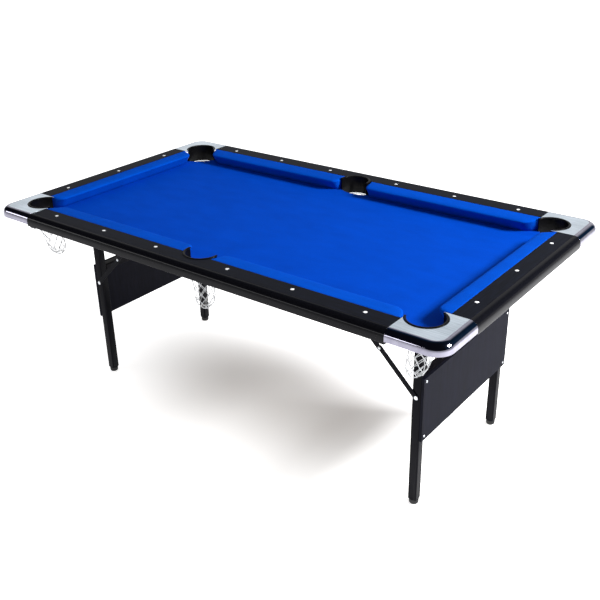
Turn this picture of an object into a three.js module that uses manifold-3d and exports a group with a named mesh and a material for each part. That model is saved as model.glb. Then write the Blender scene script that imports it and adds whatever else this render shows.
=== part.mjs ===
// A six-foot folding pool table, in millimetres, +Z up, standing on z = 0.
// +X runs along the length, -Y is the front long side, and the origin is under the middle of the bed.
import * as THREE from "three";
import { mergeVertices } from "three/addons/utils/BufferGeometryUtils.js";
import Module from "manifold-3d";

const wasm = await Module();
wasm.setup();

// ---- driving dimensions ----
const GAP = 0.3; // between pieces that touch
const RAIL_TOP = 745;
const BED_TOP = 699;
const HALF_LENGTH = 915; // to the outside of the bullnose
const HALF_WIDTH = 537;
const SHOULDER_OUT = 25; // how far the rounded edge stands out from the flat rail top
const SHOULDER_DROP = 24;
const CORNER_RADIUS = 30; // of the flat top's outline in plan
const RAIL_IN_X = 835; // inner faces of the rails
const RAIL_IN_Y = 451.5;
const NOSE_X = 783; // cushion noses
const NOSE_Y = 388;
const JOINT_X = 739; // where the long rails meet the corner castings
const JOINT_Y = 356;
const APRON_BOTTOM = 704;
const CASTING_BOTTOM = 711;
const CASTING_WALL = 3;
const CASTING_IN_X = 812; // inner edges of a casting's two arms
const CASTING_IN_Y = 436;

const BOARD_THICKNESS = 14;
const CLOTH_THICKNESS = 0.7;
const BOARD_TOP = BED_TOP - CLOTH_THICKNESS - GAP;
const BOARD_BOTTOM = BOARD_TOP - BOARD_THICKNESS;
const BOARD_HALF_X = 868;
const BOARD_HALF_Y = 490;

const CORNER_POCKET = { x: 793, y: 414, shelf: 35.5, from: -64, to: 160 };
const SIDE_POCKET = { x: 0, y: 425, shelf: 24, from: -5, to: 185 };
const SHELF_ARC = 100; // radius of the bed's edge in front of a pocket
const LINER_IN = 55.5;
const LINER_OUT = 58;
const LINER_CLEARANCE = 1; // left round a liner by the faceted holes it sits in
const RIM_OUT = 60.5;
const RING_STEPS = 24; // facets round a pocket
const BAND_STEPS = 14;
const RIM_THICKNESS = 2.2;
const RING_OUT = 66;
const RING_BOTTOM = 678;

const BAG_TOP = RING_BOTTOM - GAP;
const BAG_BOTTOM = 549;
const BAG_WALL = 3;
const BAG_LEAN = 18; // the bags hang a little towards the middle of the table

const LEG_X = 704;
const LEG_Y = 271;
const LEG_SIZE = 30;
const LEG_WALL = 1.5;
const HINGE_Z = 657;
const FOOT_HEIGHT = 19;
const FOOT_RADIUS = 16;
const STEM_RADIUS = 5;
const STEM_TOP = 45;
const HINGE_TUBE_RADIUS = 10;
const CROSSBAR_HEIGHT = 25;
const PANEL_TOP = 468;
const PANEL_BOTTOM = 248;
const PANEL_THICKNESS = 9;

const PLATE_THICKNESS = 2.7;
const EAR_THICKNESS = 3;
const EAR_HALF_WIDTH = 20;
const EAR_DROP = 15; // how far an ear reaches below its pivot
const BRACE_REACH = 259; // from the leg hinge to each end pivot of the brace
const BRACE_WIDTH = 17;
const BRACE_THICKNESS = 3;
const LEG_FACE = LEG_Y + LEG_SIZE / 2;
const LOWER_Y = LEG_FACE + 0.4; // inner face of the lower link
const UPPER_Y = LOWER_Y + BRACE_THICKNESS + 0.4;
const BRACKET_Y = UPPER_Y + BRACE_THICKNESS + 0.4;
const HINGE_EAR_Y = LEG_FACE + 1.6;

// ---- materials ----
function finish(color, roughness, metalness) {
  return () => new THREE.MeshStandardMaterial({ color, roughness, metalness });
}

const felt = finish(0x0046b9, 0.95, 0);
const laminate = finish(0x2b2e36, 0.6, 0);
const gloss = finish(0x17171c, 0.25, 0);
const chrome = finish(0xd0d4dc, 0.15, 1);
const board = finish(0x8a6b48, 0.8, 0);
const plastic = finish(0x0e0e10, 0.5, 0);
const cord = finish(0xf2f2f0, 0.9, 0);
const paint = finish(0x1d1d24, 0.45, 0.2);
const panelSkin = finish(0x33333f, 0.6, 0);

// ---- solids ----
const table = new THREE.Group();

function toSolid(geometry) {
  const plain = geometry.index ? geometry.toNonIndexed() : geometry.clone();
  plain.deleteAttribute("normal");
  plain.deleteAttribute("uv");
  const merged = mergeVertices(plain, 1e-4);
  const position = merged.getAttribute("position");
  const corners = merged.getIndex().array;
  const kept = [];
  let volume = 0;
  const [a, b, c] = [new THREE.Vector3(), new THREE.Vector3(), new THREE.Vector3()];
  for (let i = 0; i < corners.length; i += 3) {
    const [p, q, r] = [corners[i], corners[i + 1], corners[i + 2]];
    if (p === q || q === r || r === p) continue;
    kept.push(p, q, r);
    a.fromBufferAttribute(position, p);
    b.fromBufferAttribute(position, q);
    c.fromBufferAttribute(position, r);
    volume += a.dot(b.cross(c));
  }
  if (volume < 0) kept.reverse();
  return new wasm.Manifold(
    new wasm.Mesh({
      numProp: 3,
      vertProperties: new Float32Array(position.array),
      triVerts: new Uint32Array(kept),
    }),
  );
}

function toGeometry(solid) {
  const mesh = solid.getMesh();
  const geometry = new THREE.BufferGeometry();
  geometry.setAttribute("position", new THREE.BufferAttribute(mesh.vertProperties, 3));
  geometry.setIndex(new THREE.BufferAttribute(mesh.triVerts, 1));
  geometry.computeVertexNormals();
  return geometry;
}

function add(name, solid, material) {
  const mesh = new THREE.Mesh(toGeometry(solid), material());
  mesh.name = name;
  table.add(mesh);
}

function outline(points) {
  return new THREE.Shape(points.map(([x, y]) => new THREE.Vector2(x, y)));
}

// A plan outline carried from one height to another.
function prism(points, bottom, top) {
  const options = { depth: top - bottom, bevelEnabled: false };
  return toSolid(new THREE.ExtrudeGeometry(outline(points), options).translate(0, 0, bottom));
}

// A section given as (y, z) points, carried along X.
function alongX(points, from, to) {
  const geometry = new THREE.ExtrudeGeometry(outline(points), { depth: to - from, bevelEnabled: false });
  const basis = new THREE.Matrix4().makeBasis(
    new THREE.Vector3(0, 1, 0),
    new THREE.Vector3(0, 0, 1),
    new THREE.Vector3(1, 0, 0),
  );
  return toSolid(geometry.applyMatrix4(basis).translate(from, 0, 0));
}

// A section given as (x, z) points, carried along Y.
function alongY(points, from, to) {
  const geometry = new THREE.ExtrudeGeometry(outline(points), { depth: to - from, bevelEnabled: false });
  return toSolid(geometry.rotateX(Math.PI / 2).translate(0, to, 0));
}

function block(x0, x1, y0, y1, z0, z1) {
  const [xs, ys] = [[x0, x1].sort((a, b) => a - b), [y0, y1].sort((a, b) => a - b)];
  const geometry = new THREE.BoxGeometry(xs[1] - xs[0], ys[1] - ys[0], z1 - z0);
  return toSolid(geometry.translate((xs[0] + xs[1]) / 2, (ys[0] + ys[1]) / 2, (z0 + z1) / 2));
}

// A turned solid about a vertical axis at (x, y), from (radius, z) points.
function turned(points, x, y, segments) {
  const profile = points.map(([r, z]) => new THREE.Vector2(r, z));
  return new THREE.LatheGeometry(profile, segments).rotateX(Math.PI / 2).translate(x, y, 0);
}

function arc(x, y, radius, fromDegrees, toDegrees, steps) {
  return Array.from({ length: steps + 1 }, (_, i) => {
    const turn = THREE.MathUtils.degToRad(fromDegrees + ((toDegrees - fromDegrees) * i) / steps);
    return [x + radius * Math.cos(turn), y + radius * Math.sin(turn)];
  });
}

function mirrored(points, sx, sy) {
  return points.map(([x, y]) => [x * sx, y * sy]);
}

// ---- names of the four corners ----
const CORNERS = [
  { name: "front_left", sx: -1, sy: -1 },
  { name: "front_right", sx: 1, sy: -1 },
  { name: "back_left", sx: -1, sy: 1 },
  { name: "back_right", sx: 1, sy: 1 },
];
const POCKETS = [
  ...CORNERS.map((corner) => ({ ...corner, ...CORNER_POCKET })),
  { name: "front_middle", sx: 1, sy: -1, ...SIDE_POCKET },
  { name: "back_middle", sx: 1, sy: 1, ...SIDE_POCKET },
];

// ---- pocket cutters ----
// The drop hole is a circle, stopped short at the front by the shelf of the bed.
function dropHole(pocket, radius) {
  const away = pocket.x ? [Math.SQRT1_2, Math.SQRT1_2] : [0, 1];
  const offset = SHELF_ARC - pocket.shelf;
  const points = arc(0, 0, 1, 0, 360, RING_STEPS).slice(0, -1);
  return points.map(([ux, uy]) => {
    const along = offset * (away[0] * ux + away[1] * uy);
    const shelf = along + Math.sqrt(along * along - offset * offset + SHELF_ARC * SHELF_ARC);
    const reach = Math.min(radius, shelf);
    return [pocket.sx * (pocket.x + reach * ux), pocket.sy * (pocket.y + reach * uy)];
  });
}

// A band of a ring, from the liner's first angle to its last, in the pocket's own quadrant.
function band(pocket, inner, outer, bottom, top, margin = 0) {
  const { x, y, sx, sy } = pocket;
  const [from, to] = [pocket.from - margin, pocket.to + margin];
  const points = [...arc(x, y, outer, from, to, BAND_STEPS), ...arc(x, y, inner, to, from, BAND_STEPS)];
  return prism(mirrored(points, sx, sy), bottom, top);
}

// Each pocket takes out its drop hole and the slot that its liner's wall passes through.
function cutDropHoles(solid, bottom, top) {
  let left = solid;
  for (const pocket of POCKETS) {
    const slot = band(pocket, LINER_IN - GAP, LINER_OUT + GAP, bottom, top, 1);
    left = left.subtract(prism(dropHole(pocket, LINER_OUT + LINER_CLEARANCE), bottom, top)).subtract(slot);
  }
  return left;
}

// The recess that a pocket liner sits in, stepped for its rim.
function linerRecess(pocket) {
  const step = RAIL_TOP - RIM_THICKNESS - GAP;
  const profile = [
    [0, RING_BOTTOM],
    [LINER_OUT + LINER_CLEARANCE, RING_BOTTOM],
    [LINER_OUT + LINER_CLEARANCE, step],
    [RIM_OUT + LINER_CLEARANCE, step],
    [RIM_OUT + LINER_CLEARANCE, RAIL_TOP + 10],
    [0, RAIL_TOP + 10],
  ];
  return toSolid(turned(profile, pocket.sx * pocket.x, pocket.sy * pocket.y, RING_STEPS));
}

// ---- the bed ----
function buildBed() {
  const sheet = block(-BOARD_HALF_X, BOARD_HALF_X, -BOARD_HALF_Y, BOARD_HALF_Y, BOARD_BOTTOM, BOARD_TOP);
  add("bed_board", cutDropHoles(sheet, BOARD_BOTTOM - 1, BOARD_TOP + 1), board);
  const [clothX, clothY] = [RAIL_IN_X - GAP, RAIL_IN_Y - GAP];
  const cloth = block(-clothX, clothX, -clothY, clothY, BOARD_TOP + GAP, BED_TOP);
  add("bed_cloth", cutDropHoles(cloth, BOARD_TOP, BED_TOP + 1), felt);
}

// ---- the rounded outer edge ----
// The whole rim as one slab, shrunk by `inset` all round: the aprons and corner castings are cut from it.
function edgeSlab(inset) {
  const [x, y] = [HALF_LENGTH - SHOULDER_OUT, HALF_WIDTH - SHOULDER_OUT];
  const [r, depth] = [CORNER_RADIUS - inset, 100];
  const [cx, cy] = [x - CORNER_RADIUS, y - CORNER_RADIUS];
  const shape = new THREE.Shape();
  shape.absarc(cx, cy, r, 0, Math.PI / 2);
  shape.absarc(-cx, cy, r, Math.PI / 2, Math.PI);
  shape.absarc(-cx, -cy, r, Math.PI, Math.PI * 1.5);
  shape.absarc(cx, -cy, r, Math.PI * 1.5, Math.PI * 2);
  const geometry = new THREE.ExtrudeGeometry(shape, {
    depth,
    curveSegments: 5,
    bevelSize: SHOULDER_OUT,
    bevelThickness: SHOULDER_DROP,
    bevelSegments: 4,
  });
  return toSolid(geometry.translate(0, 0, RAIL_TOP - inset - SHOULDER_DROP - depth));
}

function buildEdges() {
  const slab = edgeSlab(0);
  const inner = edgeSlab(CASTING_WALL);
  const [flatX, flatY] = [HALF_LENGTH - SHOULDER_OUT + GAP / 2, HALF_WIDTH - SHOULDER_OUT + GAP / 2];
  const [endX, endY] = [JOINT_X - GAP, JOINT_Y - GAP];
  const top = RAIL_TOP + 1;
  for (const [name, side] of [["front", -1], ["back", 1]]) {
    const run = block(-endX, endX, side * flatY, side * (HALF_WIDTH + 1), APRON_BOTTOM, top);
    add(`apron_${name}`, slab.intersect(run), gloss);
  }
  for (const [name, side] of [["left", -1], ["right", 1]]) {
    const run = block(side * flatX, side * (HALF_LENGTH + 1), -endY, endY, APRON_BOTTOM, top);
    add(`apron_${name}`, slab.intersect(run), gloss);
  }
  for (const { name, sx, sy } of CORNERS) {
    const region = (wall, bottom) => {
      const [x0, y0] = [JOINT_X + wall, JOINT_Y + wall];
      const long = block(sx * x0, sx * 1000, sy * (CASTING_IN_Y + wall), sy * 600, bottom, top);
      return long.add(block(sx * (CASTING_IN_X + wall), sx * 1000, sy * y0, sy * 600, bottom, top));
    };
    const shell = slab.intersect(region(0, CASTING_BOTTOM));
    const hollow = inner.intersect(region(CASTING_WALL, CASTING_BOTTOM - 1));
    const recess = linerRecess({ ...CORNER_POCKET, sx, sy });
    add(`corner_casting_${name}`, shell.subtract(hollow).subtract(recess), chrome);
  }
}

// ---- rails and cushions ----
function buildRails() {
  const [outX, outY] = [HALF_LENGTH - SHOULDER_OUT - GAP / 2, HALF_WIDTH - SHOULDER_OUT - GAP / 2];
  const [endX, endY] = [JOINT_X - GAP, JOINT_Y - GAP];
  for (const [name, side] of [["front", -1], ["back", 1]]) {
    const beam = block(-endX, endX, side * RAIL_IN_Y, side * outY, BOARD_TOP + GAP, RAIL_TOP);
    add(`rail_${name}`, beam.subtract(linerRecess({ ...SIDE_POCKET, sx: 1, sy: side })), laminate);
  }
  for (const [name, side] of [["left", -1], ["right", 1]]) {
    const beam = block(side * RAIL_IN_X, side * outX, -endY, endY, BOARD_TOP + GAP, RAIL_TOP);
    add(`rail_${name}`, beam, laminate);
  }
}

// A cushion's section, from its back to its nose, as (distance from the middle of the table, z).
function cushionSection(back, nose) {
  return [
    [back, BED_TOP + GAP],
    [nose + 24, BED_TOP + GAP],
    [nose + 2, RAIL_TOP - 13],
    [nose, RAIL_TOP - 9.5],
    [nose + 3, RAIL_TOP - 6],
    [nose + 14, RAIL_TOP - 2.8],
    [back, RAIL_TOP - 0.4],
  ];
}

function buildCushions() {
  const [backX, backY] = [RAIL_IN_X - GAP, RAIL_IN_Y - GAP];
  const [bottom, top] = [BED_TOP, RAIL_TOP + 1];
  const longPlan = [
    [67.5, NOSE_Y - 1],
    [703, NOSE_Y - 1],
    [732.8, 430],
    [738.2, 443],
    [738.2, backY + 1],
    [58, backY + 1],
    [61.5, 433],
    [62, 425],
  ];
  for (const { name, sx, sy } of CORNERS) {
    const section = cushionSection(backY, NOSE_Y).map(([y, z]) => [y * sy, z]);
    const bar = alongX(section, sx < 0 ? -JOINT_X : 0, sx < 0 ? 0 : JOINT_X);
    add(`cushion_${name}`, bar.intersect(prism(mirrored(longPlan, sx, sy), bottom, top)), felt);
  }
  const endPlan = [
    [NOSE_X - 1, -333],
    [NOSE_X - 1, 333],
    [818, 353.5],
    [backX + 1, 355.5],
    [backX + 1, -355.5],
    [818, -353.5],
  ];
  for (const [name, sx] of [["left", -1], ["right", 1]]) {
    const section = cushionSection(backX, NOSE_X).map(([x, z]) => [x * sx, z]);
    const bar = alongY(section, -JOINT_Y, JOINT_Y);
    add(`cushion_${name}`, bar.intersect(prism(mirrored(endPlan, sx, 1), bottom, top)), felt);
  }
}

// ---- pockets ----
function buildLiner(pocket) {
  const [x, y] = [pocket.sx * pocket.x, pocket.sy * pocket.y];
  const ringTop = BOARD_BOTTOM - GAP;
  const ring = toSolid(
    turned(
      [
        [LINER_IN, RING_BOTTOM],
        [RING_OUT, RING_BOTTOM],
        [RING_OUT, ringTop],
        [LINER_IN, ringTop],
        [LINER_IN, RING_BOTTOM],
      ],
      x,
      y,
      RING_STEPS,
    ),
  );
  const wall = band(pocket, LINER_IN, LINER_OUT, RING_BOTTOM + 1, RAIL_TOP);
  const rim = band(pocket, LINER_IN, RIM_OUT, RAIL_TOP - RIM_THICKNESS, RAIL_TOP + 0.2);
  add(`pocket_liner_${pocket.name}`, ring.add(wall).add(rim), plastic);
}

// An open-topped bag that narrows from the ring, bellies out where a ball would rest and closes below.
function buildBag(pocket) {
  const depth = BAG_TOP - BAG_BOTTOM;
  const outer = [
    [0, 0],
    [18, 0.03],
    [34, 0.13],
    [43, 0.29],
    [45, 0.44],
    [44, 0.62],
    [48, 0.84],
    [56, 1],
  ].map(([radius, share]) => [radius, BAG_BOTTOM + share * depth]);
  const inner = outer
    .slice(1)
    .reverse()
    .map(([radius, z]) => [radius - BAG_WALL, z + (z < BAG_TOP ? BAG_WALL : 0)]);
  const profile = [...outer, ...inner, [0, BAG_BOTTOM + BAG_WALL]];
  const geometry = turned(profile, 0, 0, 12);
  const position = geometry.getAttribute("position");
  const towards = -Math.sign(pocket.sx * pocket.x);
  for (let i = 0; i < position.count; i += 1) {
    const hang = (BAG_TOP - position.getZ(i)) / depth;
    position.setX(i, position.getX(i) + towards * BAG_LEAN * hang);
  }
  geometry.translate(pocket.sx * pocket.x, pocket.sy * pocket.y, 0);
  add(`net_bag_${pocket.name}`, toSolid(geometry), cord);
}

function buildPockets() {
  for (const pocket of POCKETS) {
    buildLiner(pocket);
    buildBag(pocket);
  }
}

// ---- leg frames ----
function squareTube(x, y, size, wall, bottom, top) {
  const half = size / 2;
  const inside = half - wall;
  const tube = block(x - half, x + half, y - half, y + half, bottom, top);
  return tube.subtract(block(x - inside, x + inside, y - inside, y + inside, bottom - 1, top + 1));
}

function buildLegFrame(side, sx) {
  const half = LEG_SIZE / 2;
  const innerY = LEG_Y - half - GAP;
  for (const [name, sy] of [["front", -1], ["back", 1]]) {
    const leg = squareTube(sx * LEG_X, sy * LEG_Y, LEG_SIZE, LEG_WALL, FOOT_HEIGHT + GAP, HINGE_Z + half);
    add(`leg_${name}_${side}`, leg, paint);
    const foot = turned(
      [
        [0, 0],
        [FOOT_RADIUS - 4, 0],
        [FOOT_RADIUS - 1, 2],
        [FOOT_RADIUS, 5],
        [FOOT_RADIUS, FOOT_HEIGHT],
        [STEM_RADIUS, FOOT_HEIGHT],
        [STEM_RADIUS, STEM_TOP],
        [0, STEM_TOP],
      ],
      sx * LEG_X,
      sy * LEG_Y,
      12,
    );
    add(`leveler_${name}_${side}`, toSolid(foot), plastic);
  }
  const tubeSection = arc(sx * LEG_X, HINGE_Z, HINGE_TUBE_RADIUS, 0, 360, 12).slice(0, -1);
  add(`hinge_tube_${side}`, alongY(tubeSection, -innerY, innerY), paint);
  const barX = [sx * (LEG_X - half), sx * (LEG_X + half)];
  const bar = block(barX[0], barX[1], -innerY, innerY, PANEL_TOP - CROSSBAR_HEIGHT, PANEL_TOP);
  add(`crossbar_${side}`, bar, paint);
  const face = LEG_X + half + GAP;
  const panel = block(
    sx * face,
    sx * (face + PANEL_THICKNESS),
    -LEG_FACE,
    LEG_FACE,
    PANEL_BOTTOM,
    PANEL_TOP,
  );
  add(`leg_panel_${side}`, panel, panelSkin);
}

// ---- hinge mounts and folding braces ----
function buildHingeMount(side, sx) {
  const plateBottom = BOARD_BOTTOM - GAP - PLATE_THICKNESS;
  const outerY = HINGE_EAR_Y + EAR_THICKNESS;
  const [x0, x1] = [sx * (LEG_X - EAR_HALF_WIDTH), sx * (LEG_X + EAR_HALF_WIDTH)];
  let mount = block(x0, x1, -outerY, outerY, plateBottom, BOARD_BOTTOM - GAP);
  for (const sy of [-1, 1]) {
    mount = mount.add(block(x0, x1, sy * HINGE_EAR_Y, sy * outerY, HINGE_Z - EAR_DROP, plateBottom + 1));
  }
  add(`hinge_mount_${side}`, mount, paint);
}

// A flat bar with round ends between two pivots, given as (x, z).
function link(from, to, y0, y1) {
  const turn = THREE.MathUtils.radToDeg(Math.atan2(to[1] - from[1], to[0] - from[0]));
  const radius = BRACE_WIDTH / 2;
  const points = [
    ...arc(from[0], from[1], radius, turn + 90, turn + 270, 6),
    ...arc(to[0], to[1], radius, turn - 90, turn + 90, 6),
  ];
  return alongY(points, Math.min(y0, y1), Math.max(y0, y1));
}

function buildBrace({ name, sx, sy }) {
  const legPivot = [sx * LEG_X, HINGE_Z - BRACE_REACH];
  const tablePivot = [sx * (LEG_X - BRACE_REACH), HINGE_Z];
  const knuckle = [(legPivot[0] + tablePivot[0]) / 2, (legPivot[1] + tablePivot[1]) / 2];
  const slice = (y) => [sy * y, sy * (y + BRACE_THICKNESS)];
  add(`brace_lower_${name}`, link(legPivot, knuckle, ...slice(LOWER_Y)), paint);
  add(`brace_upper_${name}`, link(knuckle, tablePivot, ...slice(UPPER_Y)), paint);

  const [x0, x1] = [tablePivot[0] - EAR_HALF_WIDTH, tablePivot[0] + EAR_HALF_WIDTH];
  const [plateTop, flange] = [BOARD_BOTTOM - GAP, 40];
  const ear = block(
    x0,
    x1,
    sy * BRACKET_Y,
    sy * (BRACKET_Y + EAR_THICKNESS),
    HINGE_Z - EAR_DROP,
    plateTop,
  );
  const foot = block(x0, x1, sy * BRACKET_Y, sy * (BRACKET_Y + flange), plateTop - PLATE_THICKNESS, plateTop);
  add(`brace_bracket_${name}`, ear.add(foot), paint);
}

buildBed();
buildEdges();
buildRails();
buildCushions();
buildPockets();
for (const [side, sx] of [["left", -1], ["right", 1]]) {
  buildLegFrame(side, sx);
  buildHingeMount(side, sx);
}
for (const corner of CORNERS) {
  buildBrace(corner);
}

export default table;
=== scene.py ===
"""A folding pool table: looks for its moving CAD frame.

Metres, +X along the table, -Y its front side, floor at z = 0.
"""
import math
import random

import bmesh
import bpy
from mathutils import Matrix, Vector


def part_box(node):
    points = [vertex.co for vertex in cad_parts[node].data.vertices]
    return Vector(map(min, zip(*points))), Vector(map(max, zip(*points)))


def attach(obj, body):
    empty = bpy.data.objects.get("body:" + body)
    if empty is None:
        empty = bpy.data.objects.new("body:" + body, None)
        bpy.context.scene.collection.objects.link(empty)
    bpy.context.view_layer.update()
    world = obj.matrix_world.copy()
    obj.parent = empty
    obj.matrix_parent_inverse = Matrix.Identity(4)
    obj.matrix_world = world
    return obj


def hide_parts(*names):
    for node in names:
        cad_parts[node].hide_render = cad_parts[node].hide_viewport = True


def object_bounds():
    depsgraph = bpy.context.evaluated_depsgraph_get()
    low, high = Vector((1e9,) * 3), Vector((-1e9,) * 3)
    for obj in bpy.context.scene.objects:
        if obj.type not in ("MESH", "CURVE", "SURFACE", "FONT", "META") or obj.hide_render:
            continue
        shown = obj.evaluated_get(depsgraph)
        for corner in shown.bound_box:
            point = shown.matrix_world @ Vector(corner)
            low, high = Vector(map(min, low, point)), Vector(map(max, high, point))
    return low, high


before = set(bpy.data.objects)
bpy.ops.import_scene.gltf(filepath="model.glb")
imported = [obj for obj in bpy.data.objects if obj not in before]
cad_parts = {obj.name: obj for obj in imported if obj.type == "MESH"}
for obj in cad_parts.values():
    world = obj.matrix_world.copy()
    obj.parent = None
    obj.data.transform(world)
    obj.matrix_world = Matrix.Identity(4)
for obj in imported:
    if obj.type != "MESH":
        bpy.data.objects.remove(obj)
CAD_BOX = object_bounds()
GAP = 0.0003  # the clearance between neighbouring pieces

# ---- places taken from the frame ----
HALF_WIDTH = CAD_BOX[1].y
RAIL_LOW, RAIL_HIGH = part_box("rail_back")
END_RAIL_LOW, END_RAIL_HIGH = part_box("rail_right")
RAIL_TOP = RAIL_HIGH.z
RAIL_BOTTOM = RAIL_LOW.z
RAIL_IN_Y = RAIL_LOW.y
RAIL_OUT_Y = RAIL_HIGH.y
RAIL_IN_X = END_RAIL_LOW.x
RAIL_OUT_X = END_RAIL_HIGH.x
RAIL_END_X = RAIL_HIGH.x
RAIL_END_Y = END_RAIL_HIGH.y
BED_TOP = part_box("bed_cloth")[1].z
BOARD_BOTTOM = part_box("bed_board")[0].z
APRON_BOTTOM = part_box("apron_front")[0].z
CASTING_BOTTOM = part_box("corner_casting_back_right")[0].z
RING_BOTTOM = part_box("pocket_liner_back_right")[0].z
BAG_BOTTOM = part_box("net_bag_back_right")[0].z
LEG_LOW, LEG_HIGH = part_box("leg_back_right")
LEG_X = (LEG_LOW.x + LEG_HIGH.x) / 2
LEG_Y = (LEG_LOW.y + LEG_HIGH.y) / 2
LEG_HALF = (LEG_HIGH.x - LEG_LOW.x) / 2
TUBE_LOW, TUBE_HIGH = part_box("hinge_tube_right")
HINGE_Z = (TUBE_LOW.z + TUBE_HIGH.z) / 2
FOOT_TOP = LEG_LOW.z - GAP
LOWER_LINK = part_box("brace_lower_back_right")
UPPER_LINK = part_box("brace_upper_back_right")
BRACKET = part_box("brace_bracket_back_right")
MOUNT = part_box("hinge_mount_right")
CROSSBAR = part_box("crossbar_right")
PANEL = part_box("leg_panel_right")

# ---- sizes of the looks ----
SHOULDER_OUT = HALF_WIDTH - RAIL_OUT_Y
SHOULDER_DROP = 0.024
CORNER_RADIUS = 0.030
CASTING_WALL = 0.003
CASTING_END = Vector((0.739, 0.356))
NOSE_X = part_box("cushion_right")[0].x
NOSE_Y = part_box("cushion_back_right")[0].y
CORNER_POCKET = Vector((0.793, 0.414))
SIDE_POCKET = Vector((0.0, 0.425))
CORNER_SHELF = 0.0355
SIDE_SHELF = 0.024
SHELF_ARC = 0.100
HOLE_RADIUS = 0.059
NOTCH_RADIUS = 0.0612
LINER_IN = 0.0555
LINER_OUT = 0.058
CORNER_LINER_ARC = (-64, 160)
SIDE_LINER_ARC = (-5, 185)
BAG_LEAN = Vector((0.034, 0.008))
BRACE_REACH = 0.259
PIVOT_LEG = Vector((LEG_X, HINGE_Z - BRACE_REACH))
PIVOT_TABLE = Vector((LEG_X - BRACE_REACH, HINGE_Z))
KNUCKLE = (PIVOT_LEG + PIVOT_TABLE) / 2
LINK_WIDTH = 0.017
PLATE = 0.0027
PLATE_BEND = 0.003
PLATE_SHARES = [-1 + 2 * i / 8 for i in range(9)]
EAR_RADIUS = 0.014
EAR_WALL = 0.003
SCREW_OFFSET = 0.011
PANEL_SCREW = 0.0042
BRACKET_SCREW = 0.0036
MOUNT_SCREW = 0.0038
LEG_PIVOT = 0.0066
KNUCKLE_RIVET = 0.0040
TABLE_PIVOT = 0.0055
HINGE_BOLT = 0.0065
CLIP_PLACE = Vector((0.723, 0.5175))
JAW_BACK_Y = 0.446
JAW_BACK_X = 0.8295
SIGHT_RADIUS = 0.006
SIGHT_FIRST = 0.152
SIGHT_STEP = 0.246
SIGHT_STEP_END = 0.2545
SIGHT_X = RAIL_OUT_X - 0.032
SIGHT_Y = RAIL_OUT_Y - 0.034

ENDS = [("left", -1), ("right", 1)]
SIDES = [("front", -1), ("back", 1)]
CORNERS = [(f"{side}_{end}", sx, sy) for side, sy in SIDES for end, sx in ENDS]


# ---- materials ----
def rgb(red, green, blue):
    """A display colour, 0 to 255, as the linear colour that shaders take."""
    def linear(value):
        value /= 255
        return value / 12.92 if value <= 0.04045 else ((value + 0.055) / 1.055) ** 2.4
    return (linear(red), linear(green), linear(blue), 1.0)


def shade(color, factor):
    return tuple(min(channel * factor, 1.0) for channel in color[:3]) + (1.0,)


class Finish:
    """A Principled material, with short ways to drive it from noise in the piece's own coordinates."""

    def __init__(self, name, color, roughness, metallic=0.0, **fixed):
        self.material = bpy.data.materials.new(name)
        self.material.use_nodes = True
        self.tree = self.material.node_tree
        self.shader = self.tree.nodes["Principled BSDF"]
        self.place = self.tree.nodes.new("ShaderNodeTexCoord").outputs["Object"]
        self.shader.inputs["Base Color"].default_value = color
        self.shader.inputs["Roughness"].default_value = roughness
        self.shader.inputs["Metallic"].default_value = metallic
        for socket, value in fixed.items():
            self.shader.inputs[socket.replace("_", " ")].default_value = value

    def link(self, source, target):
        self.tree.links.new(source, target)

    def noise(self, scale, detail=2.0, stretch=(1, 1, 1), distortion=0.0):
        mapping = self.tree.nodes.new("ShaderNodeMapping")
        mapping.inputs["Scale"].default_value = stretch
        self.link(self.place, mapping.inputs["Vector"])
        texture = self.tree.nodes.new("ShaderNodeTexNoise")
        texture.inputs["Scale"].default_value = scale
        texture.inputs["Detail"].default_value = detail
        texture.inputs["Distortion"].default_value = distortion
        self.link(mapping.outputs["Vector"], texture.inputs["Vector"])
        return texture.outputs["Fac"]

    def ramp(self, value, stops):
        """stops are (place, colour), with a plain number for a grey."""
        node = self.tree.nodes.new("ShaderNodeValToRGB")
        elements = node.color_ramp.elements
        while len(elements) < len(stops):
            elements.new(0.5)
        for element, (place, color) in zip(elements, stops):
            element.position = place
            element.color = (color, color, color, 1.0) if isinstance(color, (int, float)) else color
        self.link(value, node.inputs["Fac"])
        return node.outputs["Color"]

    def mix(self, first, second, amount=0.5, kind="MULTIPLY"):
        node = self.tree.nodes.new("ShaderNodeMix")
        node.data_type = "RGBA"
        node.blend_type = kind
        node.inputs["Factor"].default_value = amount
        self.link(first, node.inputs["A"])
        self.link(second, node.inputs["B"])
        return node.outputs["Result"]

    def color(self, source):
        self.link(source, self.shader.inputs["Base Color"])
        return self

    def roughness(self, value, low, high):
        node = self.tree.nodes.new("ShaderNodeMapRange")
        node.inputs["To Min"].default_value = low
        node.inputs["To Max"].default_value = high
        self.link(value, node.inputs["Value"])
        self.link(node.outputs["Result"], self.shader.inputs["Roughness"])
        return self

    def bump(self, *layers):
        """Each layer is (height, strength, depth in metres)."""
        last = None
        for height, strength, depth in layers:
            node = self.tree.nodes.new("ShaderNodeBump")
            node.inputs["Strength"].default_value = strength
            node.inputs["Distance"].default_value = depth
            self.link(height, node.inputs["Height"])
            if last:
                self.link(last, node.inputs["Normal"])
            last = node.outputs["Normal"]
        self.link(last, self.shader.inputs["Normal"])
        return self


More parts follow.
